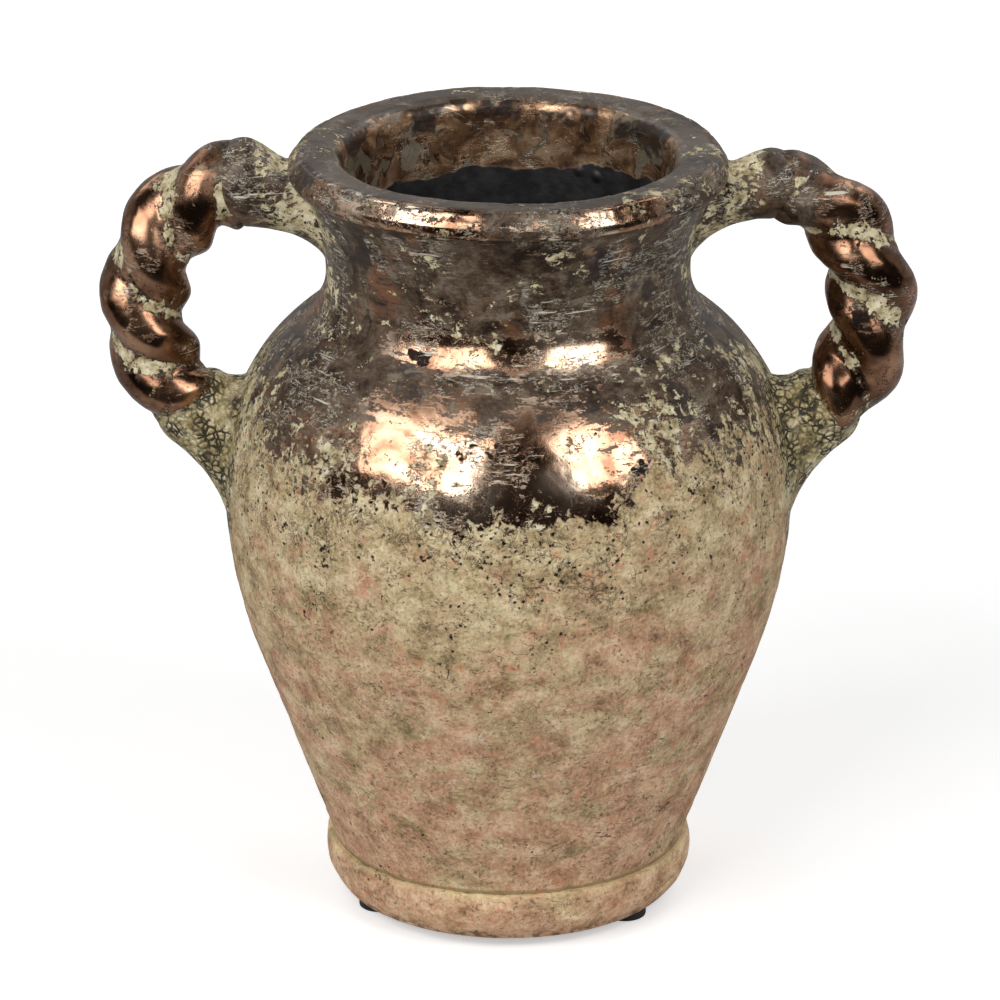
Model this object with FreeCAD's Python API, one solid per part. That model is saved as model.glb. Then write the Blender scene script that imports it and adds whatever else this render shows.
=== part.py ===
import FreeCAD, Part
import math
import os

# Urn vase: a thrown clay shell with a belly high on its wall, a pinched neck, a thick rolled
# lip and a band-like foot ring. Two ear handles, each a pair of clay strands twisted together
# and luted to the neck and the shoulder with a wad of clay at either end, stand left and right.
# Three rubber pads under the foot ring carry the vase.
# Millimetres, +Z up. The origin is on the vase's axis, in the plane that the pads stand on.
# The handles lie in the XZ plane: the left one on -X, the right one on +X. The front is -Y.

# Rubber pads, stuck under the foot ring
pad_radius = 8.0
pad_height = 4.0
pad_edge_round = 0.8
pad_inset = 9.1
pad_angles = {"left_pad": 205.0, "right_pad": 325.0, "back_pad": 85.0}

# Foot ring
foot_height = 20.5
foot_bulge = 6.6
foot_bulge_height = 10.5
foot_ledge = 2.0
foot_sole_ledge = 3.4
foot_sole_width = 19.0
foot_recess = 6.0

# Shell
wall_thickness = 6.5
floor_thickness = 9.0
floor_corner_radius = 16.0
belly_radius = 106.5
belly_height = 165.0
lower_wall_lean = 20.0
lower_belly_arc_radius = 200.0
shoulder_arc_radius = 74.0
neck_radius = 67.5
neck_arc_radius = 24.0
neck_flare_arc_radius = 66.0
neck_flare_height = 35.8

# Lip, a rolled coil on the neck's upper edge
lip_thickness = 11.0
lip_overhang = 1.2
lip_bulge = 2.2
lip_bulge_height = 4.0
lip_top_inset = 4.5
lip_inner_round = 4.0

# Handles: the centre line of each twisted pair is an upright ellipse, a little further out than
# midway between the lip's edge and the belly, and below the neck's narrowest place. Its angles
# run from straight out (0) up to the top (90).
handle_outset = 1.0
handle_drop = 14.2
handle_half_width = 39.4
handle_half_height = 47.4
twist_top_angle = 88.0
twist_bottom_angle = -58.0
rope_radius = 17.6
rope_groove_radius = 12.2
rope_taper_share = 0.45
strand_gap = 0.2
sections_per_turn = 12

# What differs between the two ropes: the radius at the upper end, the length of one turn of
# the twist and the angle that it starts from
left_rope_top_radius = 18.3
left_twist_pitch = 54.0
left_twist_start = -40.0
right_rope_top_radius = 14.6
right_twist_pitch = 59.0
right_twist_start = -20.0

# Root wads: the upright oval that each one spreads to, sunk behind the shell's face, and the
# place of its waist between that oval and the rope
root_sink = 6.0
root_waist_share = 0.62
root_waist_girth_share = 1.0
upper_root_rise = 22.0
upper_root_half_height = 21.5
upper_root_half_width = 21.0
lower_root_rise = 7.0
lower_root_half_height = 32.0
lower_root_half_width = 23.0

# Heights in the part's own frame. The shoulder's arc and the neck's arc touch, which sets the
# neck's height.
sole_z = pad_height
floor_under_z = sole_z + foot_recess
floor_top_z = floor_under_z + floor_thickness
seam_z = sole_z + foot_height
belly_z = sole_z + belly_height
shoulder_centre_radius = belly_radius - shoulder_arc_radius
neck_arc_offset = neck_radius + neck_arc_radius - shoulder_centre_radius
neck_rise_angle = math.acos(neck_arc_offset / (shoulder_arc_radius + neck_arc_radius))
neck_z = belly_z + (shoulder_arc_radius + neck_arc_radius) * math.sin(neck_rise_angle)
lip_seat_z = neck_z + neck_flare_height
rim_z = lip_seat_z + lip_thickness
handle_centre_z = neck_z - handle_drop
mouth_radius = neck_radius - wall_thickness

# Arc centres of the shell's outline, as (radius from the axis, height)
lower_arc_centre = (belly_radius - lower_belly_arc_radius, belly_z)
shoulder_arc_centre = (shoulder_centre_radius, belly_z)
neck_arc_centre = (neck_radius + neck_arc_radius, neck_z)
flare_arc_centre = (neck_radius + neck_flare_arc_radius, neck_z)
lean = math.radians(lower_wall_lean)


def at(radius, height):
    """A point of an outline, in the XZ plane."""
    return FreeCAD.Vector(radius, 0, height)


def polar(centre, radius, angle):
    """The outline point at an angle above straight out, on an arc about centre."""
    return at(centre[0] + radius * math.cos(angle), centre[1] + radius * math.sin(angle))


def arc(centre, radius, start, end):
    """The arc about centre from one angle to the other."""
    middle = polar(centre, radius, (start + end) / 2)
    return Part.Arc(polar(centre, radius, start), middle, polar(centre, radius, end)).toShape()


def line(start, end):
    return Part.LineSegment(start, end).toShape()


def turned(edges):
    """The solid that a closed outline sweeps about the vase's axis."""
    face = Part.Face(Part.Wire(Part.sortEdges(edges)[0]))
    return face.revolve(FreeCAD.Vector(0, 0, 0), FreeCAD.Vector(0, 0, 1), 360)


def lower_wall_radius(height, depth=0):
    """The radius of the straight lower wall at a height, at a depth inside its outer face."""
    touch = polar(lower_arc_centre, lower_belly_arc_radius - depth, -lean)
    return touch.x - (touch.z - height) * math.tan(lean)


sole_radius = lower_wall_radius(sole_z) + foot_sole_ledge


def flare_radius(height):
    """The radius of the neck's outer face above its narrowest place."""
    return flare_arc_centre[0] - math.sqrt(neck_flare_arc_radius**2 - (height - neck_z) ** 2)


lip_under_radius = flare_radius(lip_seat_z) + lip_overhang
lip_radius = lip_under_radius + lip_bulge
handle_centre_radius = (lip_radius + belly_radius) / 2 + handle_outset


def shell_face(depth):
    """The edges of the shell's face at a depth inside its outer one, from the straight lower
    wall's upper end to the neck's narrowest place."""
    return [
        arc(lower_arc_centre, lower_belly_arc_radius - depth, -lean, 0),
        arc(shoulder_arc_centre, shoulder_arc_radius - depth, 0, neck_rise_angle),
        arc(neck_arc_centre, neck_arc_radius + depth, math.pi + neck_rise_angle, math.pi),
    ]


def outer_edges():
    """The shell's outer face from the middle of its underside to the lip's seat."""
    wall_start = at(lower_wall_radius(floor_under_z), floor_under_z)
    wall_end = polar(lower_arc_centre, lower_belly_arc_radius, -lean)
    flare_angle = math.asin(neck_flare_height / neck_flare_arc_radius)
    return [
        line(at(0, floor_under_z), wall_start),
        line(wall_start, wall_end),
        *shell_face(0),
        arc(flare_arc_centre, neck_flare_arc_radius, math.pi, math.pi - flare_angle),
    ]


def inner_edges():
    """The shell's inner face from the middle of its floor to the lip's seat. The floor's corner
    is an arc that touches the floor and the leaning wall."""
    corner_lean = (1 - math.sin(lean)) / math.cos(lean)
    corner_radius = lower_wall_radius(floor_top_z, wall_thickness) - floor_corner_radius * corner_lean
    corner = (corner_radius, floor_top_z + floor_corner_radius)
    wall_start = polar(corner, floor_corner_radius, -lean)
    wall_end = polar(lower_arc_centre, lower_belly_arc_radius - wall_thickness, -lean)
    return [
        line(at(0, floor_top_z), at(corner_radius, floor_top_z)),
        arc(corner, floor_corner_radius, -math.pi / 2, -lean),
        line(wall_start, wall_end),
        *shell_face(wall_thickness),
        line(at(mouth_radius, neck_z), at(mouth_radius, lip_seat_z)),
    ]


def vessel_body():
    lip_seat = line(at(mouth_radius, lip_seat_z), at(flare_radius(lip_seat_z), lip_seat_z))
    floor_middle = line(at(0, floor_under_z), at(0, floor_top_z))
    return turned([*outer_edges(), lip_seat, *inner_edges(), floor_middle])


def lip_face():
    """The arc of the lip's outer face, from its underside to its top."""
    return Part.Arc(
        at(lip_under_radius, lip_seat_z),
        at(lip_radius, lip_seat_z + lip_bulge_height),
        at(lip_under_radius - lip_top_inset, rim_z),
    )


def rim_lip():
    face = lip_face()
    round_centre = (mouth_radius + lip_inner_round, rim_z - lip_inner_round)
    return turned(
        [
            line(at(mouth_radius, lip_seat_z), face.StartPoint),
            face.toShape(),
            line(face.EndPoint, at(round_centre[0], rim_z)),
            arc(round_centre, lip_inner_round, math.pi / 2, math.pi),
            line(at(mouth_radius, round_centre[1]), at(mouth_radius, lip_seat_z)),
        ]
    )


def foot_ring():
    """The ring stands on its sole, and the shell's floor and lower wall sit in it."""
    seat = at(lower_wall_radius(seam_z), seam_z)
    seat_corner = at(lower_wall_radius(floor_under_z), floor_under_z)
    ledge_edge = at(seat.x + foot_ledge, seam_z)
    sole_edge = at(sole_radius, sole_z)
    bulge = at(sole_radius + foot_bulge, sole_z + foot_bulge_height)
    bore_radius = sole_radius - foot_sole_width
    return turned(
        [
            line(at(bore_radius, sole_z), sole_edge),
            Part.Arc(sole_edge, bulge, ledge_edge).toShape(),
            line(ledge_edge, seat),
            line(seat, seat_corner),
            line(seat_corner, at(bore_radius, floor_under_z)),
            line(at(bore_radius, floor_under_z), at(bore_radius, sole_z)),
        ]
    )


def pad(angle):
    """A rubber pad under the foot ring's sole, with its lower edge rounded."""
    reach = sole_radius - pad_inset
    cosine, sine = math.cos(math.radians(angle)), math.sin(math.radians(angle))
    centre = FreeCAD.Vector(reach * cosine, reach * sine, 0)
    body = Part.makeCylinder(pad_radius, pad_height, centre)
    lower_rim = [edge for edge in body.Edges if edge.BoundBox.ZMax < pad_edge_round]
    return body.makeFillet(pad_edge_round, lower_rim)


def centre_line(angle):
    """(point, outward normal) of a right-hand handle's centre line, in the XZ plane."""
    cosine, sine = math.cos(angle), math.sin(angle)
    point = FreeCAD.Vector(
        handle_centre_radius + handle_half_width * cosine,
        0,
        handle_centre_z + handle_half_height * sine,
    )
    normal = FreeCAD.Vector(handle_half_height * cosine, 0, handle_half_width * sine)
    return point, normal.normalize()


def twist_stations(pitch):
    """A strand's stations, as (angle, length of the centre line so far, share of its length)."""
    top, bottom = math.radians(twist_top_angle), math.radians(twist_bottom_angle)
    steps = 400
    angles = [top + (bottom - top) * k / steps for k in range(steps + 1)]
    lengths = [0]
    for start, end in zip(angles, angles[1:]):
        lengths.append(lengths[-1] + centre_line(start)[0].distanceToPoint(centre_line(end)[0]))
    whole = lengths[-1]
    count = round(whole / pitch * sections_per_turn)
    stations = []
    for k in range(count + 1):
        nearest = min(range(steps + 1), key=lambda n: abs(lengths[n] - whole * k / count))
        stations.append((angles[nearest], lengths[nearest], lengths[nearest] / whole))
    return stations


def rope_scale(share, top_radius):
    """The rope's size at a share of its length, over its full size: it changes near the top."""
    left = max(0, 1 - share / rope_taper_share)
    ease = left * left * (3 - 2 * left)
    return 1 + (top_radius / rope_radius - 1) * ease


def strand_section(angle, turn, scale):
    """A strand's section: a round back over a flat that lies along its neighbour."""
    point, normal = centre_line(angle)
    across = FreeCAD.Vector(0, 1, 0)
    out = normal * math.cos(turn) + across * math.sin(turn)
    side = across * math.cos(turn) - normal * math.sin(turn)
    crown, groove = rope_radius * scale, rope_groove_radius * scale
    back_centre = (crown**2 - groove**2) / (2 * crown)
    back_radius = crown - back_centre
    half_sweep = math.atan2(groove, strand_gap / 2 - back_centre)

    def back(sweep):
        reach = back_centre + back_radius * math.cos(sweep)
        return point + out * reach + side * (back_radius * math.sin(sweep))

    flat_end, flat_start = back(-half_sweep), back(half_sweep)
    return Part.Wire(
        [
            Part.Arc(flat_end, back(-half_sweep / 2), back(0)).toShape(),
            Part.Arc(back(0), back(half_sweep / 2), flat_start).toShape(),
            line(flat_start, flat_end),
        ]
    )


def strand(start_turn, pitch, top_radius):
    """One strand of a right-hand handle, from the upper root wad to the lower one."""
    sections = []
    for angle, length, share in twist_stations(pitch):
        turn = math.radians(start_turn) + 2 * math.pi * length / pitch
        sections.append(strand_section(angle, turn, rope_scale(share, top_radius)))
    return Part.makeLoft(sections, True, False)


def oval(centre, up, half_height, half_width):
    """An upright oval of two halves, which meet at its top and its bottom."""
    side = FreeCAD.Vector(0, half_width, 0)
    ellipse = Part.Ellipse(centre + up * half_height, centre + side, centre)
    halves = [(0, math.pi), (math.pi, 2 * math.pi)]
    return Part.Wire([Part.ArcOfEllipse(ellipse, *half).toShape() for half in halves])


def collar(centre, up, radius):
    """A circle of two halves, which meet at its top and its bottom."""
    top, bottom = centre + up * radius, centre - up * radius
    side = FreeCAD.Vector(0, radius, 0)
    return Part.Wire(
        [
            Part.Arc(top, centre + side, bottom).toShape(),
            Part.Arc(bottom, centre - side, top).toShape(),
        ]
    )


def root(spread_centre, half_height, half_width, end_angle, end_up, end_radius):
    """A wad of clay that flares from the rope's end to an oval on an upright plane."""
    end_centre = centre_line(end_angle)[0]
    waist_centre = spread_centre + (end_centre - spread_centre) * root_waist_share
    waist_up = (FreeCAD.Vector(0, 0, 1) + end_up).normalize()
    return Part.makeLoft(
        [
            oval(spread_centre, FreeCAD.Vector(0, 0, 1), half_height, half_width),
            collar(waist_centre, waist_up, end_radius * root_waist_girth_share),
            collar(end_centre, end_up, end_radius),
        ],
        True,
        False,
    )


def upper_root(top_radius):
    angle = math.radians(twist_top_angle)
    spread_centre = at(neck_radius - root_sink, neck_z + upper_root_rise)
    up = centre_line(angle)[1]
    return root(spread_centre, upper_root_half_height, upper_root_half_width, angle, up, top_radius)


def lower_root():
    angle = math.radians(twist_bottom_angle)
    rise = math.asin(lower_root_rise / shoulder_arc_radius)
    shoulder = polar(shoulder_arc_centre, shoulder_arc_radius, rise)
    spread_centre = shoulder - FreeCAD.Vector(2 * root_sink, 0, 0)
    up = -centre_line(angle)[1]
    return root(spread_centre, lower_root_half_height, lower_root_half_width, angle, up, rope_radius)


def shell_plug():
    """The shell and the lip as one filled body, which trims the root wads to their seats."""
    lip_axis = [line(at(0, lip_seat_z), at(0, floor_under_z))]
    seat = line(at(flare_radius(lip_seat_z), lip_seat_z), at(0, lip_seat_z))
    face = lip_face()
    lip = turned(
        [
            line(at(0, lip_seat_z), face.StartPoint),
            face.toShape(),
            line(face.EndPoint, at(0, rim_z)),
            line(at(0, rim_z), at(0, lip_seat_z)),
        ]
    )
    return turned([*outer_edges(), seat, *lip_axis]).fuse(lip)


def handle(side, half_turn, start_turn, pitch, top_radius, plug):
    """The four pieces of a handle. The left one is the right one turned half round the axis,
    so that both ropes are laid the same way."""
    pieces = {
        f"{side}_handle_strand_a": strand(start_turn, pitch, top_radius),
        f"{side}_handle_strand_b": strand(start_turn + 180, pitch, top_radius),
        f"{side}_upper_root": upper_root(top_radius).cut(plug),
        f"{side}_lower_root": lower_root().cut(plug),
    }
    for piece in pieces.values():
        piece.rotate(FreeCAD.Vector(0, 0, 0), FreeCAD.Vector(0, 0, 1), half_turn)
    return pieces


def model():
    plug = shell_plug()
    left = (left_twist_start, left_twist_pitch, left_rope_top_radius)
    right = (right_twist_start, right_twist_pitch, right_rope_top_radius)
    return {
        "vessel_body": vessel_body(),
        "rim_lip": rim_lip(),
        "foot_ring": foot_ring(),
        **{name: pad(angle) for name, angle in pad_angles.items()},
        **handle("right", 0, *right, plug),
        **handle("left", 180, *left, plug),
    }


os.makedirs("parts", exist_ok=True)
for node, shape in model().items():
    shape.exportStep(f"parts/{node}.step")
    print(node, len(shape.Solids), shape.isValid(), round(shape.Volume), "mm3")
print("rim", round(rim_z, 2), "neck", round(neck_z, 2), "mouth radius", mouth_radius)
print("lip seat", round(lip_seat_z, 2), "sole radius", round(sole_radius, 2))
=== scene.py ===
import math

import bmesh
import bpy
import numpy as np
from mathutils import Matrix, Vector, noise


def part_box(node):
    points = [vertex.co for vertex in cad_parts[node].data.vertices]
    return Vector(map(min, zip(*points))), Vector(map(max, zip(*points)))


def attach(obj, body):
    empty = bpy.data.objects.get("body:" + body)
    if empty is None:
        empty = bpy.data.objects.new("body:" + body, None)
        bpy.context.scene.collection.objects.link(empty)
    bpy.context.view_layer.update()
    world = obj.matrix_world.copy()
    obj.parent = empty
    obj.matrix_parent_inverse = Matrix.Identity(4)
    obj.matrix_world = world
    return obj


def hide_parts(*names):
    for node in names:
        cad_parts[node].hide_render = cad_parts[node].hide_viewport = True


# Urn vase: the finished look of a hand-built clay vase with twisted rope handles. Copper lustre
# glaze covers the upper half, inside and out, and weathered bare clay the lower half.
# Metres, +Z up. The front is -Y. An angle round the vase counts from the front, towards +X.

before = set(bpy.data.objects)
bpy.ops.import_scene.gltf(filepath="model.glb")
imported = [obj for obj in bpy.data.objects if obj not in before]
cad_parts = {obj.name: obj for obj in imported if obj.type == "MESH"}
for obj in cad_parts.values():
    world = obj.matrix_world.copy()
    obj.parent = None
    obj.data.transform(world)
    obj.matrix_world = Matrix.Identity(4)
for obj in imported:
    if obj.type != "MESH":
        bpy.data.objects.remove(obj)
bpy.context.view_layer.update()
mm = 0.001

# Heights that the frame gives
sole_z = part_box("foot_ring")[0].z
seam_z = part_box("foot_ring")[1].z
floor_under_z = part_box("vessel_body")[0].z
lip_seat_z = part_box("rim_lip")[0].z
rim_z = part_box("rim_lip")[1].z

# Points round each turned piece
body_around = 380
lip_around = 480
foot_around = 460

# Shell
wall_thickness = 6.5 * mm
floor_thickness = 9.0 * mm
floor_corner_radius = 16.0 * mm
belly_radius = 106.5 * mm
belly_z = sole_z + 165.0 * mm
lean = math.radians(20.0)
lower_belly_arc_radius = 200.0 * mm
shoulder_arc_radius = 74.0 * mm
neck_radius = 67.5 * mm
neck_arc_radius = 24.0 * mm
neck_flare_arc_radius = 66.0 * mm
neck_z = lip_seat_z - 35.8 * mm
floor_top_z = floor_under_z + floor_thickness
mouth_radius = neck_radius - wall_thickness

# Lip
lip_overhang = 1.2 * mm
lip_bulge = 2.2 * mm
lip_bulge_height = 4.0 * mm
lip_top_inset = 4.5 * mm
lip_inner_round = 6.5 * mm
lip_edge_round = 2.0 * mm
lip_facet_inset = 0.75 * mm
lip_facet_drop = 4.65 * mm
lip_edge_inset = 3.35 * mm
lip_edge_drop = 1.05 * mm

# Foot ring
foot_bulge = 6.6 * mm
foot_bulge_height = 10.5 * mm
foot_ledge = 2.0 * mm
foot_sole_ledge = 3.4 * mm
foot_sole_width = 19.0 * mm

# Handles
handle_outset = 1.0 * mm
handle_centre_z = neck_z - 14.2 * mm
handle_half_width = 39.4 * mm
handle_half_height = 47.4 * mm
twist_top = math.radians(88.0)
twist_bottom = math.radians(-58.0)
rope_radius = 17.6 * mm
rope_groove_radius = 12.2 * mm
rope_taper_share = 0.45

# The ovals that the root wads spread to on the wall, as (height, half height, half width)
upper_root_oval = (neck_z + 22.0 * mm, 21.5 * mm, 21.0 * mm)
lower_root_oval = (belly_z + 7.0 * mm, 32.0 * mm, 23.0 * mm)

# Where the glaze ends, as (degrees from the front, height above the pads' plane in mm)
glaze_edge = [
    (-150, 199), (-112, 189), (-69, 197), (-46, 190), (-24, 188), (-8, 183), (18, 183),
    (24, 190), (29, 200), (54, 201), (77, 195), (115, 187), (150, 196),
]

# Arc centres of the outline, as (radius from the axis, height)
lower_arc_centre = (belly_radius - lower_belly_arc_radius, belly_z)
shoulder_arc_centre = (belly_radius - shoulder_arc_radius, belly_z)
neck_arc_centre = (neck_radius + neck_arc_radius, neck_z)
flare_arc_centre = (neck_radius + neck_flare_arc_radius, neck_z)
neck_rise = math.asin((neck_z - belly_z) / (shoulder_arc_radius + neck_arc_radius))
wall_top_z = belly_z - lower_belly_arc_radius * math.sin(lean)
shoulder_top_z = belly_z + shoulder_arc_radius * math.sin(neck_rise)


def eased(value, low, high):
    """0 at low, 1 at high and a smooth step between."""
    share = np.clip((value - low) / (high - low), 0, 1)
    return share * share * (3 - 2 * share)


def fractal(points, size, octaves, seed):
    """Smooth noise from about -1 to 1 at each point, with features of the given size."""
    shift = Vector((seed * 17.3, seed * -9.1, seed * 5.7))
    flat = points.reshape(-1, 3) / size
    values = [noise.fractal(Vector(point) + shift, 1.0, 2.0, octaves) for point in flat]
    return np.array(values).reshape(points.shape[:-1])


def lumps(points, size, octaves, seed):
    """Smooth noise from about 0 to 1, with features of the given size in mm."""
    return 0.5 + 0.5 * fractal(points, size * mm, octaves, seed)


def wall_line(height, depth=0.0):
    """The radius of the straight lower wall at a height, at a depth inside its outer face."""
    touch = lower_belly_arc_radius - depth
    touch_radius = lower_arc_centre[0] + touch * math.cos(lean)
    touch_z = belly_z - touch * math.sin(lean)
    return touch_radius - (touch_z - height) * math.tan(lean)


def circle_through(first, middle, last):
    """(centre, radius) of the circle through three outline points."""
    rows = np.array([np.subtract(middle, first), np.subtract(last, first)])
    half_squares = (rows**2).sum(1) / 2
    centre = np.linalg.solve(rows, half_squares) + first
    return centre, np.linalg.norm(centre - first)


lip_under_radius = flare_arc_centre[0] + lip_overhang - math.sqrt(
    neck_flare_arc_radius**2 - (lip_seat_z - neck_z) ** 2
)
lip_radius = lip_under_radius + lip_bulge
lip_edge = (lip_under_radius - lip_top_inset, rim_z)
lip_arc_centre, lip_arc_radius = circle_through(
    (lip_under_radius, lip_seat_z), (lip_radius, lip_seat_z + lip_bulge_height), lip_edge
)
handle_centre_radius = (lip_radius + belly_radius) / 2 + handle_outset


def outer_radius(height):
    """The radius of the outer face, lip included, at each height."""
    z = np.minimum(height, rim_z)

    def on(centre, radius, side):
        return centre[0] + side * np.sqrt(np.maximum(radius**2 - (z - centre[1]) ** 2, 0))

    return np.select(
        [z < wall_top_z, z < belly_z, z < shoulder_top_z, z < neck_z, z < lip_seat_z],
        [
            wall_line(z),
            on(lower_arc_centre, lower_belly_arc_radius, 1),
            on(shoulder_arc_centre, shoulder_arc_radius, 1),
            on(neck_arc_centre, neck_arc_radius, -1),
            on(flare_arc_centre, neck_flare_arc_radius, -1),
        ],
        on(lip_arc_centre, lip_arc_radius, 1),
    )


def arc(centre, radius, start, end, step):
    """Outline points along an arc, about a step apart."""
    angles = np.linspace(start, end, max(2, round(abs(end - start) * radius / step)) + 1)
    return np.stack([centre[0] + radius * np.cos(angles), centre[1] + radius * np.sin(angles)], 1)


def line(start, end, step):
    """Outline points along a straight stretch, about a step apart."""
    return np.linspace(start, end, max(1, round(math.dist(start, end) / step)) + 1)


def curve(start, control, end, count):
    """Outline points along a smooth bend that leaves and arrives in line with its control."""
    share = np.linspace(0, 1, count)[:, None]
    bend = (1 - share) ** 2 * np.array(start) + 2 * share * (1 - share) * np.array(control)
    return bend + share**2 * np.array(end)


def joined(*stretches):
    """One outline from stretches that start where the one before ends."""
    return np.vstack([stretches[0], *[stretch[1:] for stretch in stretches[1:]]])


def normals_of(outline, closed):
    """The outline's normals, to the right of its direction."""
    if closed:
        along = np.roll(outline, -1, 0) - np.roll(outline, 1, 0)
    else:
        along = np.gradient(outline, axis=0)
    along /= np.maximum(np.linalg.norm(along, axis=1, keepdims=True), 1e-9)
    return np.stack([along[:, 1], -along[:, 0]], 1)


def by_hand(points):
    """The unevenness of hand work, one field for all pieces, so that they keep their joints:
    points move a little towards the axis, and the rim and what is near it a little down."""
    shrink_share, rim_dip, dip_start, dip_full = 0.007, 1.1 * mm, 225 * mm, 290 * mm
    angle = np.arctan2(points[..., 0], -points[..., 1])
    z = points[..., 2]
    swell = 0.5 + 0.2 * np.sin(2 * angle + 0.7 + 9 * z) + 0.17 * np.sin(3 * angle + 2.1 - 21 * z)
    swell += 0.13 * np.sin(47 * z + 1.3 * np.sin(angle))
    dip = 0.5 + 0.3 * np.sin(2 * angle - 1.1) + 0.2 * np.sin(5 * angle - 0.6)
    moved = points.copy()
    moved[..., :2] *= (1 - shrink_share * swell)[..., None]
    moved[..., 2] -= rim_dip * dip * eased(z, dip_start, dip_full)
    return moved


def solid(name, rings, closed=False):
    """A closed smooth mesh through rings of points. Unless the rings close into a loop, a fan
    closes each end."""
    sharp_from = math.radians(50)
    rings = by_hand(rings)
    count, around = rings.shape[:2]
    points = rings.reshape(-1, 3)
    index = np.arange(count * around).reshape(count, around)
    first, last = index[0], index[-1]
    if closed:
        index = np.vstack([index, index[:1]])
    low, high = index[:-1], index[1:]
    sides = [low, np.roll(low, -1, 1), np.roll(high, -1, 1), high]
    faces = np.stack(sides, -1).reshape(-1, 4).tolist()
    if not closed:
        for ring, end in ((first, 0), (last, -1)):
            middle = len(points)
            points = np.vstack([points, rings[end].mean(0)])
            following = np.roll(ring, -1)
            pairs = zip(following, ring) if end == 0 else zip(ring, following)
            faces += [[int(a), int(b), middle] for a, b in pairs]
    mesh = bpy.data.meshes.new(name)
    mesh.from_pydata(points.tolist(), [], faces)
    shell = bmesh.new()
    shell.from_mesh(mesh)
    if shell.calc_volume(signed=True) < 0:
        mesh.flip_normals()
    shell.free()
    mesh.shade_smooth()
    mesh.set_sharp_from_angle(angle=sharp_from)
    piece = bpy.data.objects.new(name, mesh)
    bpy.context.scene.collection.objects.link(piece)
    return piece


def turned(outline, around, relief, closed=False):
    """Rings of points that an outline sweeps about the axis, pushed in by relief(points)."""
    angles = np.linspace(0, 2 * math.pi, around, endpoint=False)
    across = np.stack([np.sin(angles), -np.cos(angles)], 1)

    def swept(line_points):
        rings = np.empty((len(line_points), around, 3))
        rings[..., :2] = line_points[:, None, :1] * across[None]
        rings[..., 2] = line_points[:, None, 1]
        return rings

    rings = swept(outline)
    return rings - swept(normals_of(outline, closed)) * relief(rings)[..., None]


def angle_of(points):
    """Degrees from the front, towards +X."""
    return np.degrees(np.arctan2(points[..., 0], -points[..., 1]))


def beside(points):
    """0 at the front and the back, 1 below the handles."""
    return eased(np.abs(np.sin(np.radians(angle_of(points)))), 0.5, 0.85)


def below_glaze(points):
    """How far a point is below the glaze's edge, in mm."""
    degrees, heights = zip(*glaze_edge)
    edge = np.interp(angle_of(points), degrees, heights, period=360)
    return edge - points[..., 2] / mm


def near_root(points, oval):
    """1 on the wall within each side's root oval, fading to 0 outside it."""
    centre_z, half_height, half_width = oval
    across = points[..., 1] / half_width
    along = (points[..., 2] - centre_z) / half_height
    reach = np.hypot(across, along)
    at_the_sides = np.abs(points[..., 0]) > np.abs(points[..., 1])
    return np.where(at_the_sides, eased(reach, 1.7, 0.9), 0)


def paint(piece, rings, **fields):
    """Stores numbers at a piece's points for the materials, and with them how far below the
    glaze's edge each point is. The fans' middle points repeat the last."""
    fields["bare"] = below_glaze(rings)
    count = len(piece.data.vertices)
    for name, values in fields.items():
        flat = np.broadcast_to(values, rings.shape[:2]).ravel()
        flat = np.concatenate([flat, np.full(count - len(flat), flat[-1])])
        attribute = piece.data.attributes.new(name, "FLOAT", "POINT")
        attribute.data.foreach_set("value", flat.astype(np.float32))


# Mesh of each piece


def body_outline():
    """The shell's outline from the middle of its underside, up the outer face and down the
    inner one to the middle of the floor, and the number of its points on the outer face."""
    fine, medium, coarse, flat = 1.75 * mm, 3.0 * mm, 5.0 * mm, 7.0 * mm
    middle = 0.5 * mm
    flare_angle = math.asin((lip_seat_z - neck_z) / neck_flare_arc_radius)
    base = (wall_line(floor_under_z), floor_under_z)
    outer = joined(
        line((middle, floor_under_z), base, flat),
        line(base, (wall_line(wall_top_z), wall_top_z), fine),
        arc(lower_arc_centre, lower_belly_arc_radius, -lean, 0, fine),
        arc(shoulder_arc_centre, shoulder_arc_radius, 0, neck_rise, fine),
        arc(neck_arc_centre, neck_arc_radius, math.pi + neck_rise, math.pi, fine),
        arc(flare_arc_centre, neck_flare_arc_radius, math.pi, math.pi - flare_angle, fine),
    )
    corner_share = (1 - math.sin(lean)) / math.cos(lean)
    corner_radius = wall_line(floor_top_z, wall_thickness) - floor_corner_radius * corner_share
    corner_centre = (corner_radius, floor_top_z + floor_corner_radius)
    corner = arc(corner_centre, floor_corner_radius, -lean, -math.pi / 2, coarse)
    lower = arc(lower_arc_centre, lower_belly_arc_radius - wall_thickness, 0, -lean, coarse)
    mouth_top = (mouth_radius, lip_seat_z)
    neck_inner = neck_arc_radius + wall_thickness
    inner = joined(
        line(outer[-1], mouth_top, coarse),
        line(mouth_top, (mouth_radius, neck_z), medium),
        arc(neck_arc_centre, neck_inner, math.pi, math.pi + neck_rise, medium),
        arc(shoulder_arc_centre, shoulder_arc_radius - wall_thickness, neck_rise, 0, coarse),
        lower,
        line(lower[-1], corner[0], coarse),
        corner,
        line(corner[-1], (middle, floor_top_z), flat),
    )
    return joined(outer, inner), len(outer)


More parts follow.
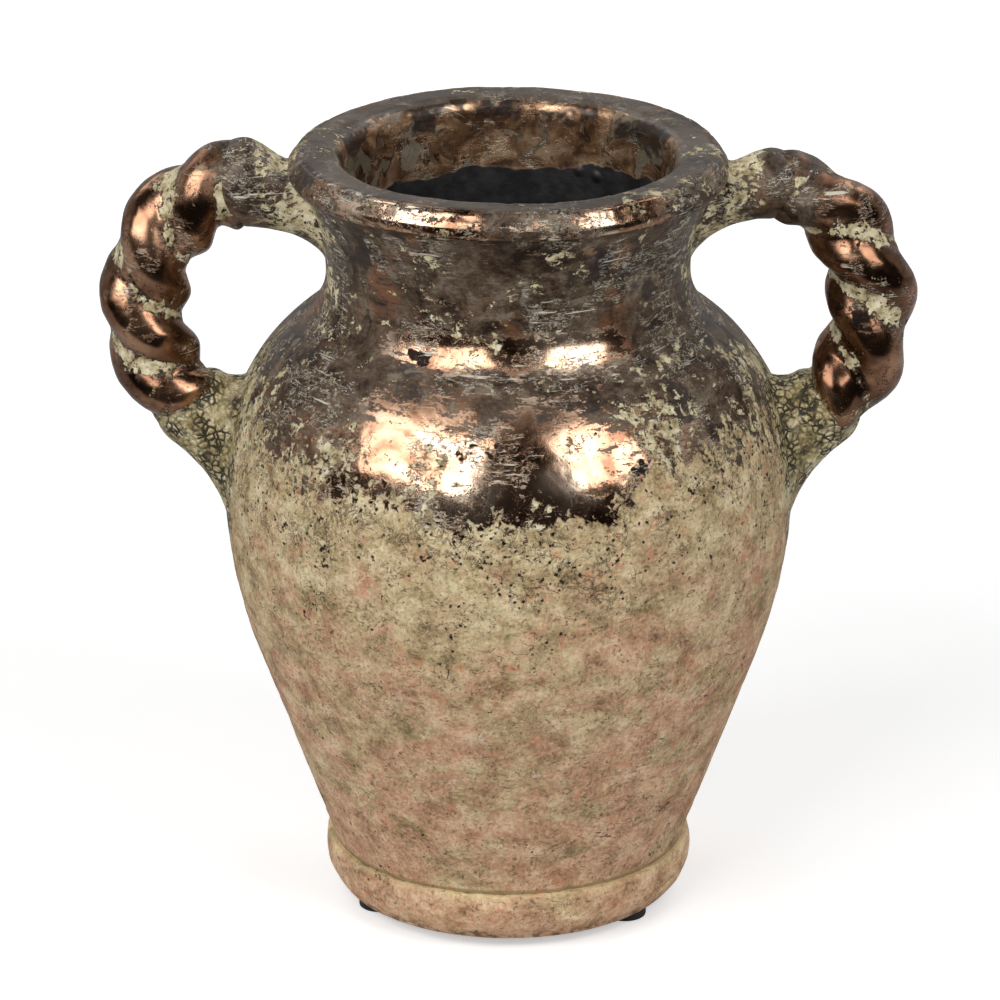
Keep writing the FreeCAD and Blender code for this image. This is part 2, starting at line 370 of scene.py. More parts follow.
def body_relief(points):
    """How far the shell's face lies in from its true outline: soft waves under the glaze,
    lumps and dents in the bare clay. The seats of the foot ring and the lip stay true."""
    deepest, seat_margin, bare_from, bare_full = 1.4 * mm, 4 * mm, -8, 10
    bare = eased(below_glaze(points), bare_from, bare_full)
    dents = eased(fractal(points, 15 * mm, 2, 3), 0.25, 0.7)
    rough = 0.45 * lumps(points, 11, 4, 2) + 0.22 * lumps(points, 4, 2, 8) + 0.8 * dents
    depth = (0.45 * lumps(points, 26, 2, 1) * (1 - bare) + rough * bare) * mm
    z = points[..., 2]
    off_foot = eased(z, seam_z - seat_margin / 2, seam_z + seat_margin)
    off_lip = eased(z, lip_seat_z, lip_seat_z - seat_margin)
    return np.clip(depth, 0, deepest) * off_foot * off_lip


def dullness(points):
    """How much film covers the lustre: least on the lower shoulder's front and back, and less
    where the neck starts than round it."""
    film_from, film_full = 206 * mm, 232 * mm
    neck_foot_z, band_end, band_full = 238 * mm, 9 * mm, 3 * mm
    z = points[..., 2]
    above = eased(z, film_from, film_full)
    neck_foot = eased(np.abs(z - neck_foot_z), band_end, band_full) * (1 - beside(points))
    return (0.54 - 0.50 * neck_foot) * above + 0.48 * beside(points) * (1 - 0.5 * above)


def vase_body():
    seam_reach = 2.2 * mm
    outline, outer_count = body_outline()
    rings = turned(outline, body_around, body_relief)
    body = solid("vase_body", rings)
    inside = np.where(np.arange(len(outline))[:, None] < outer_count, 0.0, 1.0)
    paint(
        body,
        rings,
        inside=inside,
        crackle=near_root(rings, lower_root_oval),
        crust=near_root(rings, upper_root_oval),
        seam=eased(rings[..., 2], seam_z + seam_reach, seam_z) * (1 - inside),
        dull=dullness(rings),
        aside=beside(rings),
    )
    return body


def lip_outline():
    """The lip's closed outline: a round belly, a sloping facet above it and a rounded edge."""
    step, coarse, under_inset, low_bend, high_bend = 1.2 * mm, 4 * mm, 1.5 * mm, 1.7 * mm, 1.36 * mm
    seat = (mouth_radius, lip_seat_z)
    round_centre = (mouth_radius + lip_inner_round, rim_z - lip_inner_round)
    under_angle = math.atan2(lip_seat_z - lip_arc_centre[1], lip_under_radius - lip_arc_centre[0])
    belly = arc(lip_arc_centre, lip_arc_radius, under_angle, math.radians(-10), step)
    facet_low = np.array([lip_radius - lip_facet_inset, rim_z - lip_facet_drop])
    facet_high = np.array([lip_radius - lip_edge_inset, rim_z - lip_edge_drop])
    slope = (facet_high - facet_low) / lip_facet_drop
    soft_from = (lip_edge[0] - lip_edge_round, rim_z)
    return joined(
        line(seat, (lip_under_radius - under_inset, lip_seat_z), coarse),
        belly,
        curve(belly[-1], facet_low - slope * low_bend, facet_low, 4),
        line(facet_low, facet_high, step),
        curve(facet_high, facet_high + slope * high_bend, soft_from, 8),
        line(soft_from, (round_centre[0], rim_z), step),
        arc(round_centre, lip_inner_round, math.pi / 2, math.pi, step),
        line((mouth_radius, round_centre[1]), seat, step),
    )[:-1]


def lip_relief(points):
    """Finger marks along the lip. Its seat stays true."""
    nicks = eased(fractal(points, 7 * mm, 2, 5), 0.35, 0.8)
    marks = 0.6 * lumps(points, 22, 3, 4) + 0.35 * nicks + 0.22 * lumps(points, 4.5, 2, 9)
    return marks * mm * eased(points[..., 2], lip_seat_z, lip_seat_z + 6 * mm)


def vase_lip():
    """The lip, filmed over on top and at the sides, and on a stretch near the front, where the film
    is painted shade that widens the dark reflection between the front lamps.
    """
    dark_reflection_gap_angle, dark_reflection_gap_full, dark_reflection_gap_end = 8, 11, 19
    edge_blend, mouth_blend = 1.5 * mm, 4.5 * mm
    rings = turned(lip_outline(), lip_around, lip_relief, closed=True)
    lip = solid("vase_lip", rings, closed=True)
    radius = np.hypot(rings[..., 0], rings[..., 1])
    top = eased(radius, lip_edge[0] + edge_blend, lip_edge[0] - edge_blend)
    # Painted shade: film on a stretch near the front darkens the lip where the dark room shows
    # between the two front lamps' highlights.
    dark_reflection_gap = eased(np.abs(angle_of(rings) - dark_reflection_gap_angle), dark_reflection_gap_end, dark_reflection_gap_full)
    paint(
        lip,
        rings,
        inside=eased(radius, mouth_radius + mouth_blend, mouth_radius + edge_blend),
        crust=near_root(rings, upper_root_oval),
        dull=0.04 + 0.85 * top + (0.45 * beside(rings) + 0.30 * dark_reflection_gap) * (1 - top),
    )
    return lip


def foot_outline():
    """The foot ring's closed outline. Its seat is sunk a little into the shell's wall."""
    step, medium, coarse = 1.3 * mm, 2 * mm, 3 * mm
    sunk, edge_round, ledge_round = 1.0 * mm, 2.2 * mm, 1.2 * mm
    sole = (wall_line(sole_z) + foot_sole_ledge, sole_z)
    ledge = (wall_line(seam_z) + foot_ledge, seam_z)
    bulge = (sole[0] + foot_bulge, sole_z + foot_bulge_height)
    centre, radius = circle_through(sole, bulge, ledge)
    start = math.atan2(sole_z + edge_round - centre[1], sole[0] - centre[0])
    end = math.atan2(seam_z - edge_round - centre[1], ledge[0] - centre[0])
    face = arc(centre, radius, start, end, step)
    bore_foot = (sole[0] - foot_sole_width, sole_z)
    bore_top = (bore_foot[0], floor_under_z + sunk)
    sole_start = (sole[0] - edge_round, sole_z)
    ledge_end = (ledge[0] - ledge_round, seam_z)
    seat_top = (wall_line(seam_z) - sunk, seam_z)
    seat_foot = (wall_line(floor_under_z) - sunk, floor_under_z + sunk)
    return joined(
        line(bore_foot, sole_start, coarse),
        curve(sole_start, sole, face[0], 6),
        face,
        curve(face[-1], ledge, ledge_end, 6),
        line(ledge_end, seat_top, step),
        line(seat_top, seat_foot, coarse),
        line(seat_foot, bore_top, coarse),
        line(bore_top, bore_foot, medium),
    )[:-1]


def foot_relief(points):
    """Lumps and dents in the foot ring's face. Its sole stays flat."""
    dents = eased(fractal(points, 9 * mm, 2, 7), 0.3, 0.8)
    depth = (1.0 * lumps(points, 18, 4, 6) + 0.6 * dents) * mm
    return depth * eased(points[..., 2], sole_z, sole_z + 2 * mm)


def vase_foot():
    ledge_from, ledge_full, wall_far, wall_near = 4.5 * mm, 1.0 * mm, 0.9 * mm, 0.1 * mm
    low_from, low_full = 8 * mm, 1 * mm
    rings = turned(foot_outline(), foot_around, foot_relief, closed=True)
    foot = solid("vase_foot_ring", rings, closed=True)
    z = rings[..., 2]
    from_wall = np.hypot(rings[..., 0], rings[..., 1]) - outer_radius(z)
    ledge = eased(z, seam_z - ledge_from, seam_z - ledge_full)
    paint(
        foot,
        rings,
        seam=ledge * (0.5 + 0.5 * eased(from_wall, wall_far, wall_near)),
        low=eased(z, sole_z + low_from, sole_z + low_full),
    )
    return foot


# Handles, drawn on the right and turned half round for the left, so that both are laid alike.
# A start is the angle, in degrees, at which the twist begins.

left = dict(turn=-1, top_radius=18.3 * mm, pitch=54.0 * mm, start=-40, dull_end=16.0 * mm, seed=20)
right = dict(turn=1, top_radius=14.6 * mm, pitch=59.0 * mm, start=-20, dull_end=32.0 * mm, seed=40)
handles = {"left": left, "right": right}


def centre_line(angle):
    """(points, outward normals) of a handle's centre line at angles above straight out."""
    cosine, sine, zero = np.cos(angle), np.sin(angle), np.zeros_like(angle)
    out = handle_centre_radius + handle_half_width * cosine
    points = np.stack([out, zero, handle_centre_z + handle_half_height * sine], -1)
    normals = np.stack([handle_half_height * cosine, zero, handle_half_width * sine], -1)
    return points, normals / np.linalg.norm(normals, axis=-1, keepdims=True)


def rope_line():
    """(angles, lengths) along the centre line. Length counts from the twist's top end, and
    the line runs past both ends."""
    past, samples = math.radians(25.0), 4001
    angles = np.linspace(twist_top + past, twist_bottom - past, samples)
    steps = np.linalg.norm(np.diff(centre_line(angles)[0], axis=0), axis=1)
    lengths = np.concatenate([[0], np.cumsum(steps)])
    return angles, lengths - np.interp(-twist_top, -angles, lengths)


line_angles, line_lengths = rope_line()
rope_length = float(np.interp(-twist_bottom, -line_angles, line_lengths))


def rope_size(length, top_radius):
    """The rope's size at lengths along it, over its full size."""
    return 1 + (top_radius / rope_radius - 1) * eased(length, rope_taper_share * rope_length, 0)


def strand(name, handle, half_turn):
    """One clay strand, half round in section, with the crust that fills the groove beside it.
    Its flat side laps over the other strand's."""
    step, hidden_end, end_round, lap = 0.9 * mm, 9.0 * mm, 20.0 * mm, 0.5 * mm
    back_points, flat_points, crust_blend, crazed_end = 72, 7, 0.55 * mm, 26 * mm
    seed = handle["seed"]
    lengths = np.arange(-hidden_end, rope_length + hidden_end, step)
    points, normals = centre_line(np.interp(lengths, line_lengths, line_angles))
    size = rope_size(lengths, handle["top_radius"])[:, None]
    start = math.radians(handle["start"]) + half_turn
    turns = (start + 2 * math.pi * lengths / handle["pitch"])[:, None]
    across = np.array([0.0, 1.0, 0.0])
    out = normals * np.cos(turns) + across * np.sin(turns)
    side = across * np.cos(turns) - normals * np.sin(turns)
    from_end = np.minimum(lengths - lengths[0], lengths[-1] - lengths)
    rounding = np.sqrt(1 - (1 - np.clip(from_end / end_round, 0.02, 1)) ** 2)[:, None]

    back_centre = (rope_radius**2 - rope_groove_radius**2) / (2 * rope_radius)
    back_radius = rope_radius - back_centre
    sweep = np.linspace(-math.pi / 2, math.pi / 2, back_points)
    reach = np.sqrt(back_radius**2 - (back_centre * np.sin(sweep)) ** 2)
    reach = (back_centre * np.cos(sweep) + reach)[None, :] * size
    direction = out[:, None, :] * np.cos(sweep)[None, :, None]
    direction += side[:, None, :] * np.sin(sweep)[None, :, None]
    rough = points[:, None, :] + direction * reach[..., None]
    reach -= (1.3 * lumps(rough, 24, 2, seed) + 0.25 * fractal(rough, 6 * mm, 2, seed + 1)) * mm
    fill = rope_groove_radius * size + 0.9 * mm
    fill = fill + 0.85 * mm * fractal(rough, 15 * mm, 2, seed + 2)
    above = fill - reach
    crust = above / mm
    lift = 0.5 * (above + np.sqrt(above**2 + crust_blend**2))
    lift += 0.22 * mm * fractal(rough, 2.6 * mm, 3, seed + 3) * eased(crust, -0.1, 0.4)
    reach = np.minimum(reach + lift, rope_radius * size) * rounding

    back = points[:, None, :] + direction * reach[..., None]
    share = np.linspace(0, 1, flat_points + 2)[None, 1:-1, None]
    inward = lap * rounding[..., None] * out[:, None, :]
    flat = back[:, -1:, :] * (1 - share) + back[:, :1, :] * share - inward
    rings = np.concatenate([back, flat], 1)
    rings[..., :2] *= handle["turn"]
    piece = solid(name, rings)
    from_top = lengths[:, None]
    paint(
        piece,
        rings,
        crust=np.pad(crust, ((0, 0), (0, flat_points)), constant_values=1.0),
        crackle=eased(rope_length - from_top, crazed_end, 4 * mm),
        dull=0.02 + 0.75 * eased(from_top, handle["dull_end"], 0.0),
    )
    return piece


def wall_spot(angles, oval, depth):
    """(points, tangents) at a depth in the wall along the edge of a root's oval. Tangents
    point away from the oval's middle."""
    centre_z, half_height, half_width = oval
    up, aside = half_height * np.cos(angles), half_width * np.sin(angles)
    z = centre_z + up
    radius = outer_radius(z)
    slope = (outer_radius(z + mm) - outer_radius(z - mm)) / (2 * mm)
    x = np.sqrt(radius**2 - aside**2)
    outward = np.stack([x / radius, aside / radius, -slope], -1)
    outward /= np.linalg.norm(outward, axis=-1, keepdims=True)
    rising = np.stack([slope * x / radius, slope * aside / radius, np.ones_like(z)], -1)
    level = np.stack([-aside / radius, x / radius, np.zeros_like(z)], -1)
    tangents = rising * up[..., None] + level * aside[..., None]
    tangents /= np.linalg.norm(tangents, axis=-1, keepdims=True)
    return np.stack([x, aside, z], -1) - outward * depth, tangents


def root(name, handle, upper):
    """A wad of clay that comes out of the rope's end and is smeared out over the wall."""
    around, hidden_rings, smeared_rings = 132, 14, 46
    sunk, hidden, past_wall, collar_share = 1.0 * mm, 13.0 * mm, 5 * mm, 0.93
    leaving, arriving = 1.1, 0.9
    psi = np.linspace(0, 2 * math.pi, around, endpoint=False)
    if upper:
        end_length, heading, radius, oval = 0.0, -1, handle["top_radius"], upper_root_oval
    else:
        end_length, heading, radius, oval = rope_length, 1, rope_radius, lower_root_oval
    collar_radius = radius * collar_share

    def collar(past, reach):
        """(points, heading) of a ring about the rope's line, past its end towards the wall."""
        at = np.interp(end_length + heading * past, line_lengths, line_angles)
        centre, normal = centre_line(np.array(at))
        up = normal if upper else -normal
        tangent = np.array([-up[2], 0.0, up[0]])
        points = centre + reach * (np.cos(psi)[:, None] * up + np.sin(psi)[:, None] * [0, 1, 0])
        return points, tangent

    rings = []
    for share in np.linspace(1, 0, hidden_rings, endpoint=False):
        reach = collar_radius * math.sqrt(max(0.01, 1 - share**2))
        rings.append(collar(-hidden * share, reach)[0])
    start, tangent = collar(0.0, collar_radius)
    end, spread = wall_spot(psi, oval, sunk)
    span = np.linalg.norm(end - start, axis=1)[:, None]
    leave, arrive = leaving * span * tangent, arriving * span * spread
    for t in np.linspace(0, 1, smeared_rings):
        done = t * t * (3 - 2 * t)
        bend = leave * (t * (1 - t) ** 2) + arrive * (t * t * (t - 1))
        rings.append(start * (1 - done) + end * done + bend)
    rings.append(rings[-1] - np.array([past_wall, 0, 0]))
    rings = np.array(rings)

    outward = rings - rings.mean(1, keepdims=True)
    outward /= np.linalg.norm(outward, axis=-1, keepdims=True)
    rings = rings - outward * (0.9 * mm * lumps(rings, 13, 3, handle["seed"] + 7))[..., None]
    rings[..., :2] *= handle["turn"]
    piece = solid(name, rings)
    share = np.linspace(0, 1, len(rings))[:, None]
    paint(
        piece,
        rings,
        crust=0.75 * eased(share, 0.2, 0.5) + 0.15,
        crackle=0.0 if upper else 1.0,
        dull=0.62,
    )
    return piece


# Materials. A coat is a dictionary of colour, metal, rough and height, the last in mm.


def shade(red, green, blue):
    """The linear colour of one that is given as a screen shows it, from 0 to 255."""
    return (*[((value / 255 + 0.055) / 1.055) ** 2.4 for value in (red, green, blue)], 1.0)


def shades(*colors):
    return tuple(shade(*color) for color in colors)


white = (1.0, 1.0, 1.0, 1.0)
# Black of burnt spots in the glaze, and of the painted dark reflection under the rim inside
black_glaze_and_reflection = shade(38, 28, 23)
rust = shade(146, 98, 68)
grime = shade(46, 35, 28)
ruddy_clay = shade(200, 128, 94)
pool_grey = shade(122, 113, 102)
scratch_white = shade(212, 205, 186)
moss_film = shade(112, 107, 90)
seam_dark = shade(50, 41, 24)
pit_dark = shade(40, 31, 21)
speck_dark = shade(84, 68, 46)
flake_pale = shade(218, 190, 162)
ledge_cream = shade(216, 200, 150)
inner_dark = shade(44, 43, 45)
inner_black = shade(26, 24, 24)
rubber_black = shade(36, 36, 38)
rubber_dust = shade(86, 80, 74)

# Runs of colours from dark to light
copper_tones = shades((134, 98, 76), (203, 163, 133), (232, 207, 183))
rope_tones = shades((104, 74, 56), (134, 98, 76), (190, 147, 117))
film_tones = shades((42, 30, 22), (78, 61, 47), (102, 85, 69), (132, 119, 101))
lip_film_tones = shades((66, 57, 50), (112, 102, 92))
stain_tones = shades((84, 58, 40), (150, 112, 80), (204, 172, 138))
crust_tones = shades((132, 115, 80), (196, 182, 144), (226, 216, 186))
beige_tones = shades((138, 114, 80), (174, 149, 112), (198, 172, 133), (218, 198, 160))
pink_tones = shades((150, 108, 80), (184, 140, 109), (205, 162, 130), (222, 190, 160))
moss_tones = shades((98, 86, 52), (145, 128, 86), (176, 159, 116), (202, 188, 150))
cream_tones = shades((138, 116, 80), (184, 163, 122), (206, 188, 147), (226, 212, 176))
olive_tones = shades((176, 158, 108), (208, 192, 144), (232, 220, 184))
foot_tones = shades((170, 136, 94), (220, 189, 146), (236, 209, 164), (242, 223, 184))


class Graph:
    """A node tree, with short names for what makes its nodes."""

    def __init__(self, tree):
        self.tree = tree

    def feed(self, node, socket, value):
        if isinstance(value, bpy.types.NodeSocket):
            self.tree.links.new(value, node.inputs[socket])
        else:
            node.inputs[socket].default_value = value

    def add(self, kind, inputs=None, **settings):
        made = self.tree.nodes.new("ShaderNode" + kind)
        for name, value in settings.items():
            setattr(made, name, value)
        for socket, value in (inputs or {}).items():
            self.feed(made, socket, value)
        return made

    def math(self, operation, first, second=0.0):
        return self.add("Math", {0: first, 1: second}, operation=operation).outputs[0]

    def chained(self, operation, values):
        result = values[0]
        for value in values[1:]:
            result = self.math(operation, result, value)
        return result

    def total(self, *values):
        return self.chained("ADD", values)

    def times(self, *values):
        return self.chained("MULTIPLY", values)

    def most(self, *values):
        return self.chained("MAXIMUM", values)

    def blended(self, *pairs):
        """The sum of (value, weight) pairs."""
        return self.total(*[self.times(value, weight) for value, weight in pairs])

    def swing(self, value, reach):
        """Noise about zero, times a reach."""
        return self.times(self.total(value, -0.5), reach)

    def between(self, value, low, high):
        """0 at low, 1 at high and a smooth step between."""
        inputs = {"Value": value, "From Min": low, "From Max": high}
        return self.add("MapRange", inputs, interpolation_type="SMOOTHSTEP").outputs[0]

    def mix(self, share, under, over):
        """Mixes colours or numbers. What both sides share stays as it is."""
        if under == over:
            return under
        if isinstance(under, tuple) or getattr(under, "type", "") == "RGBA":
            made = self.add("Mix", {0: share, 6: under, 7: over}, data_type="RGBA")
            return made.outputs[2]
        return self.add("Mix", {0: share, 2: under, 3: over}, data_type="FLOAT").outputs[0]

    def ramp(self, value, places, colors):
        """A run of colours at rising places."""
        made = self.add("ValToRGB", {0: value})
        points = made.color_ramp.elements
        points[0].position, points[0].color = places[0], colors[0]
        points[-1].position, points[-1].color = places[-1], colors[-1]
        for place, color in zip(places[1:-1], colors[1:-1]):
            points.new(place).color = color
        return made.outputs[0]


class Surface(Graph):
    """The node tree of a new material. Places in it, and the sizes of its patterns, are in mm."""

    def __init__(self, name):
        self.material = bpy.data.materials.new(name)
        self.material.use_nodes = True
        super().__init__(self.material.node_tree)
        self.shader = self.tree.nodes["Principled BSDF"]
        place = self.add("TexCoord").outputs["Object"]
        scaled = self.add("VectorMath", {0: place, "Scale": 1 / mm}, operation="SCALE")
        self.place = scaled.outputs[0]

    def attribute(self, name):
        """A number that paint() stored at the mesh's points."""
        return self.add("Attribute", attribute_name=name).outputs["Fac"]

    def noise(self, size, detail=4, rough=0.55, distortion=0.0, flat=1.0, shift=0.0):
        """Noise from 0 to 1 with features of a size, lower than wide where flat is above 1.
        Each shift gives another pattern."""
        moves = {0: self.place, 1: (1.0, 1.0, flat), 2: (shift, shift, shift)}
        inputs = {
            "Vector": self.add("VectorMath", moves, operation="MULTIPLY_ADD").outputs[0],
            "Scale": 1 / size,
            "Detail": detail,
            "Roughness": rough,
            "Distortion": distortion,
        }
        return self.add("TexNoise", inputs).outputs["Fac"]

    def gate(self, size, low, high, shift, detail=3, rough=0.6):
        """Patches of a size: 1 where noise is above high, 0 where it is below low."""
        return self.between(self.noise(size, detail, rough, shift=shift), low, high)

    def veins(self, width, size, **settings):
        """Thin winding lines, where noise crosses its middle. The width is in its values."""
        middle = self.math("ABSOLUTE", self.total(self.noise(size, **settings), -0.5))
        return self.between(middle, width, 0.3 * width)

    def cells(self, size, feature="F1", warp=0.0):
        """The distance output of a cell pattern, in shares of the cells' size. A warp bends the
        cells out of shape."""
        place = self.place
        if warp:
            bend = self.add("TexNoise", {"Vector": place, "Scale": 1 / size, "Detail": 3})
            bent = {0: bend.outputs["Color"], "Scale": warp}
            offset = self.add("VectorMath", bent, operation="SCALE")
            place = self.add("VectorMath", {0: place, 1: offset.outputs[0]}).outputs[0]
        inputs = {"Vector": place, "Scale": 1 / size}
        return self.add("TexVoronoi", inputs, feature=feature).outputs["Distance"]

    def layered(self, share, under, over):
        """One coat over another, where share is 1."""
        return {key: self.mix(share, under[key], over[key]) for key in under}

    def finished(self, finish):
        """Wires a coat to the shader and returns the material."""
        bump = self.add("Bump", {"Height": finish["height"], "Distance": mm, "Strength": 1.0})
        self.feed(self.shader, "Base Color", finish["color"])
        self.feed(self.shader, "Metallic", finish["metal"])
        self.feed(self.shader, "Roughness", finish["rough"])
        self.feed(self.shader, "Normal", bump.outputs[0])
        return self.material


def coat(color, metal, rough, height):
    return {"color": color, "metal": metal, "rough": rough, "height": height}


def lustre(g, dull, polish=(0.09, 0.20), metals=copper_tones):
    """Copper lustre: mirror-like with burnt spots where it is whole, and elsewhere under a
    brushed brown film with grey pools and pale scratches."""
    tone = g.blended((g.noise(30, detail=3, distortion=1.0), 0.7), (g.noise(13, shift=40), 0.3))
    waves = g.times(g.noise(13, detail=2, shift=9), 0.28)
    crinkle = g.times(g.noise(2.2, detail=3, rough=0.6), 0.035)
    black = g.gate(21, 0.64, 0.665, 33, detail=4)
    crazing = g.veins(0.020, 5, detail=4, rough=0.66, distortion=0.8, shift=44)
    crazing = g.times(crazing, g.gate(9, 0.46, 0.58, 12))
    mirror = coat(
        g.ramp(tone, (0.40, 0.50, 0.60), metals),
        metal=1.0,
        rough=g.total(g.mix(g.between(tone, 0.35, 0.7), *polish), g.times(dull, 0.6)),
        height=g.total(waves, crinkle),
    )
    burnt_spots_and_dark_reflection = coat(black_glaze_and_reflection, metal=0.9, rough=0.5, height=mirror["height"])
    soot = coat(black_glaze_and_reflection, metal=0.0, rough=0.55, height=mirror["height"])
    mirror = g.layered(g.most(black, crazing), mirror, burnt_spots_and_dark_reflection)

    fine = g.noise(1.5, detail=3, rough=0.7, flat=1.6, shift=60)
    brush = g.noise(12, detail=5, rough=0.66, distortion=0.5, flat=4.0)
    patch = g.noise(28, detail=4, rough=0.6, shift=15)
    cloud = g.noise(15, detail=5, rough=0.62, distortion=1.2, shift=55)
    film = coat(
        g.ramp(
            g.blended((cloud, 0.5), (brush, 0.25), (fine, 0.25)),
            (0.42, 0.48, 0.54, 0.60),
            film_tones,
        ),
        metal=0.35,
        rough=g.mix(g.between(cloud, 0.4, 0.6), 0.36, 0.52),
        height=g.total(mirror["height"], g.times(fine, 0.10)),
    )
    bare_copper = coat(rust, metal=0.6, rough=0.36, height=mirror["height"])
    rubbed = g.times(g.gate(25, 0.54, 0.70, 90, detail=5), g.between(brush, 0.40, 0.56), 0.9)
    film = g.layered(rubbed, film, bare_copper)
    film = g.layered(g.times(g.gate(17, 0.56, 0.63, 81, detail=5), 0.8), film, soot)
    cover = g.blended((brush, 0.45), (patch, 0.35), (fine, 0.20), (dull, 0.34))
    finish = g.layered(g.between(cover, 0.58, 0.62), mirror, film)

    puddles = g.noise(19, detail=2, distortion=2.4, shift=77)
    pool = coat(pool_grey, metal=0.1, rough=0.38, height=g.total(waves, 0.1))
    pooled = g.times(g.between(puddles, 0.69, 0.705), g.between(cover, 0.58, 0.62), 0.7)
    finish = g.layered(pooled, finish, pool)

    busy = g.total(g.gate(22, 0.42, 0.62, 37), g.times(dull, 0.5), -0.10)
    strokes = g.noise(15, detail=3, rough=0.6, distortion=0.4, flat=13, shift=23)
    winding = g.veins(0.022, 10, detail=5, rough=0.74, distortion=0.4, flat=3.2, shift=71)
    scratch = g.most(g.between(strokes, 0.62, 0.67), g.times(winding, g.between(fine, 0.40, 0.52)))
    pale = coat(scratch_white, metal=0.0, rough=0.55, height=g.total(waves, 0.16))
    return g.layered(g.times(scratch, g.between(busy, 0.53, 0.93), 0.85), finish, pale)


def crust(g):
    """Cream crust with dark pin holes."""
    blotch = g.noise(5, detail=5, rough=0.7, shift=22)
    hole = g.gate(1.9, 0.565, 0.605, 13, rough=0.65)
    hole = g.times(hole, g.gate(5, 0.40, 0.52, 33))
    color = g.ramp(blotch, (0.36, 0.50, 0.64), crust_tones)
    return coat(
        g.mix(hole, color, pit_dark),
        metal=0.0,
        rough=0.72,
        height=g.total(g.times(blotch, 0.6), g.times(hole, -0.6), 0.25),
    )


def crackle(g):
    """Olive and cream glaze, crazed into small cells with dark seams between them."""
    edges = g.cells(2.7, feature="DISTANCE_TO_EDGE", warp=1.8)
    fine = g.cells(1.4, feature="DISTANCE_TO_EDGE", warp=0.8)
    blotch = g.blended((g.noise(8, detail=5, rough=0.68, shift=61), 0.8), (g.noise(1.2), 0.2))
    strong = g.mix(g.gate(9, 0.38, 0.56, 80), 0.25, 1.0)
    seams = g.most(g.between(edges, 0.21, 0.07), g.times(g.between(fine, 0.12, 0.03), 0.6))
    seam = g.times(seams, strong)
    color = g.ramp(blotch, (0.36, 0.44, 0.51, 0.59), (moss_tones[0], *olive_tones))
    color = g.mix(g.times(g.gate(12, 0.50, 0.62, 64), 0.7), color, moss_tones[1])
    return coat(
        g.mix(seam, color, seam_dark),
        metal=0.0,
        rough=g.mix(seam, 0.42, 0.65),
        height=g.total(g.times(g.between(edges, 0.0, 0.35), 0.6), g.times(blotch, 0.4)),
    )


def clay(g, bare, tones=beige_tones):
    """Weathered bare clay: beige, cream near the glaze and pinker below, with moss, grains,
    pits, short cracks and pale flakes."""
    blotch = g.noise(12, detail=6, rough=0.72, distortion=0.2, flat=1.2, shift=12)
    grain = g.noise(1.5, detail=4, rough=0.78)
    tone = g.blended((blotch, 0.60), (grain, 0.40))
    places = (0.395, 0.465, 0.53, 0.60)
    rosy = g.noise(26, detail=5, rough=0.66, distortion=0.6, flat=1.8, shift=5)
    rosy = g.between(g.total(rosy, g.times(bare, 0.0010)), 0.52, 0.66)
    pale = g.between(g.total(g.noise(20, detail=5, shift=44), g.times(bare, -0.0042)), 0.26, 0.50)
    mossy = g.noise(19, detail=5, rough=0.66, flat=1.3, shift=91)
    mossy = g.between(mossy, 0.52, 0.64)
    color = g.ramp(tone, places, tones)
    color = g.mix(g.times(rosy, 0.8), color, g.ramp(tone, places, pink_tones))
    color = g.mix(g.times(pale, 0.75), color, g.ramp(tone, places, cream_tones))
    color = g.mix(g.times(mossy, 0.65), color, g.ramp(tone, places, moss_tones))

    near = g.between(bare, 70, 0)
    often = g.total(g.noise(13, detail=4, shift=66), g.times(near, 0.24), -0.04)
    holes = g.gate(3.6, 0.655, 0.675, 50)
    holes = g.most(holes, g.between(g.cells(3.4, warp=2.4), 0.22, 0.12))
    pit = g.times(holes, g.between(often, 0.56, 0.64))
    dot = g.times(g.gate(2.0, 0.61, 0.66, 41), g.gate(9, 0.42, 0.56, 71))
    finer = g.gate(1.2, 0.66, 0.72, 75, detail=1, rough=0.55)
    dot = g.most(dot, g.times(finer, g.gate(16, 0.40, 0.56, 24)))
    short = g.gate(5, 0.53, 0.60, 88, detail=2)
    short = g.times(g.veins(0.010, 7, detail=2, flat=1.7, shift=18), short, 0.7)
    long = g.veins(0.003, 45, detail=4, flat=2.2, shift=63)
    long = g.times(long, g.gate(26, 0.54, 0.62, 38))
    lacy = g.veins(0.030, 5, detail=4, rough=0.70, distortion=0.6, shift=57)
    lacy = g.times(lacy, g.between(often, 0.62, 0.76), 0.7)
    crack = g.most(short, long, lacy)
    flake = g.noise(11, detail=6, rough=0.74, distortion=0.3, shift=27)
    flake = g.between(flake, 0.635, 0.655)
    ruddy = g.times(g.gate(5, 0.54, 0.66, 93, detail=5), g.gate(22, 0.45, 0.60, 15))
    color = g.mix(g.times(ruddy, 0.6), color, ruddy_clay)
    color = g.mix(g.times(flake, 0.8), color, flake_pale)
    color = g.mix(g.times(dot, 0.6), color, speck_dark)
    return coat(
        g.mix(g.most(pit, g.times(crack, 0.85)), color, pit_dark),
        metal=0.0,
        rough=0.85,
        height=g.blended(
            (blotch, 0.7), (grain, 0.28), (flake, 0.3), (pit, -0.8), (dot, -0.25), (crack, -0.4)
        ),
    )


def flecked(g, finish, amount):
    """Scuffs and flakes of cream crust over a coat, more of them where amount is higher."""
    scuff = g.noise(4.5, detail=6, rough=0.72, distortion=0.5, flat=1.5, shift=51)
    flake = g.noise(9, detail=6, rough=0.70, distortion=0.3, shift=27)
    where = g.noise(24, detail=3, shift=37)
    level = g.total(g.blended((scuff, 0.55), (flake, 0.45), (where, 0.40)), amount)
    return g.layered(g.between(level, 0.840, 0.862), finish, crust(g))


